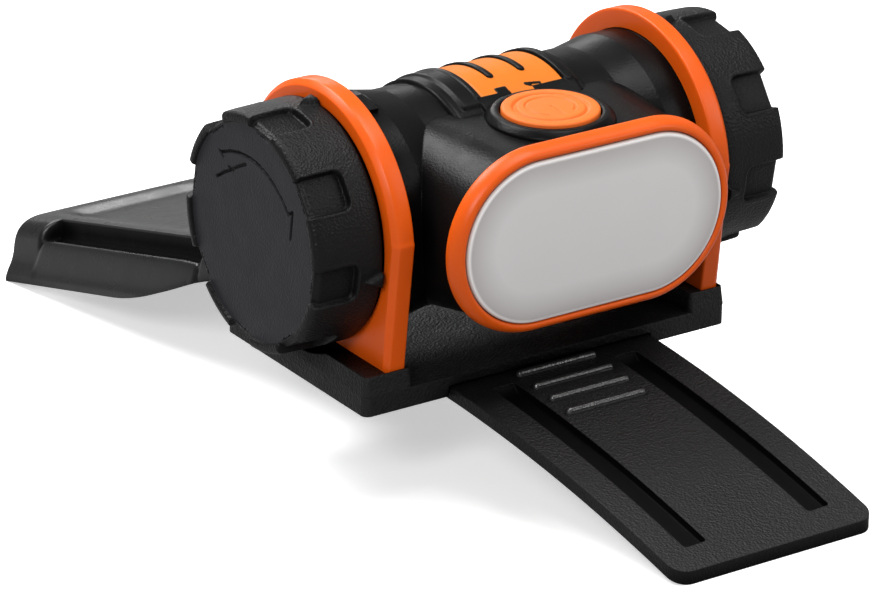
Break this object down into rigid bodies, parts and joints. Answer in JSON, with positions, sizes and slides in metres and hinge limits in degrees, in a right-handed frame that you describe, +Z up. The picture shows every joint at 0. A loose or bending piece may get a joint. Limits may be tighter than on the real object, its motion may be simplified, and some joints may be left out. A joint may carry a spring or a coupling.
{
  "type": "headlamp",
  "caption": "Headlamp with a horizontal battery barrel, twist caps, orange bracket rings, a stadium-shaped frosted light and a base with strap plates front and rear.",
  "frame": {"origin": "on the floor, under the middle of the whole lamp's length and width", "axes": "+X along the battery barrel towards the right cap, +Y towards the rear saddle (the light shines to -Y), +Z up from the floor"},
  "size_m": [0.0862, 0.187, 0.0626],
  "materials": {
    "black_grained": "fine spark grain",
    "black_satin": "satin",
    "black_housing": "satin",
    "black_cap": "spark grain with a smooth face",
    "orange_plastic": "semi gloss",
    "orange_soft": "matte soft grip",
    "orange_button": "matte soft grip",
    "screw_steel": "zinc plated",
    "seal_rubber": "matte",
    "contact_brass": "stamped",
    "contact_steel": "nickel plated",
    "cartridge_plastic": "matte",
    "cell_jacket": "shrink sleeve",
    "board_green": "solder mask",
    "board_white": "white solder mask",
    "spreader_aluminium": "stamped",
    "led_phosphor": "phosphor",
    "tray_white": "white",
    "lens_frosted": "frosted",
    "switch_black": "matte",
    "wire_red": "insulated wire"
  },
  "bodies": {
    "stand": {"base_plate": "black_grained", "front_strap_plate": "black_grained", "rear_strap_saddle": "black_satin", "left_bracket_ring": "orange_plastic", "right_bracket_ring": "orange_plastic", "bracket_screws": "screw_steel", "strap_screws": "screw_steel"},
    "lamp": {"barrel_housing": "black_housing", "battery_cartridge": "cartridge_plastic", "top_battery_cell": "cell_jacket", "front_battery_cell": "cell_jacket", "rear_battery_cell": "cell_jacket", "driver_board": "board_green", "heat_spreader": "spreader_aluminium", "led_board": "board_white", "led_emitters": "led_phosphor", "light_tray": "tray_white", "bezel_gasket": "seal_rubber", "diffuser_lens": "lens_frosted", "front_bezel": "orange_plastic", "button_collar": "black_housing", "top_inlay": "orange_soft", "switch_board": "board_green", "tact_switch": "switch_black", "left_contact_strip": "contact_brass", "right_contact_strip": "contact_brass", "lead_wires": "wire_red"},
    "left_seal": {"left_cap_seal": "seal_rubber"},
    "left_cap": {"left_end_cap": "black_cap", "left_contact_disc": "contact_brass", "left_contact_spring": "contact_steel"},
    "right_seal": {"right_cap_seal": "seal_rubber"},
    "right_cap": {"right_end_cap": "black_cap", "right_contact_disc": "contact_brass", "right_contact_spring": "contact_steel"},
    "button": {"power_button": "orange_button"}
  },
  "joints": [
    {"name": "lamp_tilt", "type": "hinge", "parent": "stand", "child": "lamp", "pos_m": [0, -0.02285, 0.04155], "axis": [1, 0, 0], "range_deg": [-80, 15]},
    {"name": "left_cap_travel", "type": "slide", "parent": "lamp", "child": "left_seal", "axis": [-1, 0, 0], "range_m": [0, 0.0081]},
    {"name": "left_cap_turn", "type": "hinge", "parent": "left_seal", "child": "left_cap", "pos_m": [0, -0.02285, 0.04155], "axis": [-1, 0, 0], "range_deg": [0, 720]},
    {"name": "right_cap_travel", "type": "slide", "parent": "lamp", "child": "right_seal", "axis": [1, 0, 0], "range_m": [0, 0.0081]},
    {"name": "right_cap_turn", "type": "hinge", "parent": "right_seal", "child": "right_cap", "pos_m": [0, -0.02285, 0.04155], "axis": [1, 0, 0], "range_deg": [0, 720]},
    {"name": "button_press", "type": "slide", "parent": "lamp", "child": "button", "axis": [0, 0.0972, -0.9953], "range_m": [0, 0.0005], "stiffness_N_per_m": 400, "springref_m": -0.002}
  ],
  "couplings": [
    {"joint": "left_cap_travel", "follows": "left_cap_turn", "m_per_rad": 0.00063662},
    {"joint": "right_cap_travel", "follows": "right_cap_turn", "m_per_rad": 0.00063662}
  ]
}
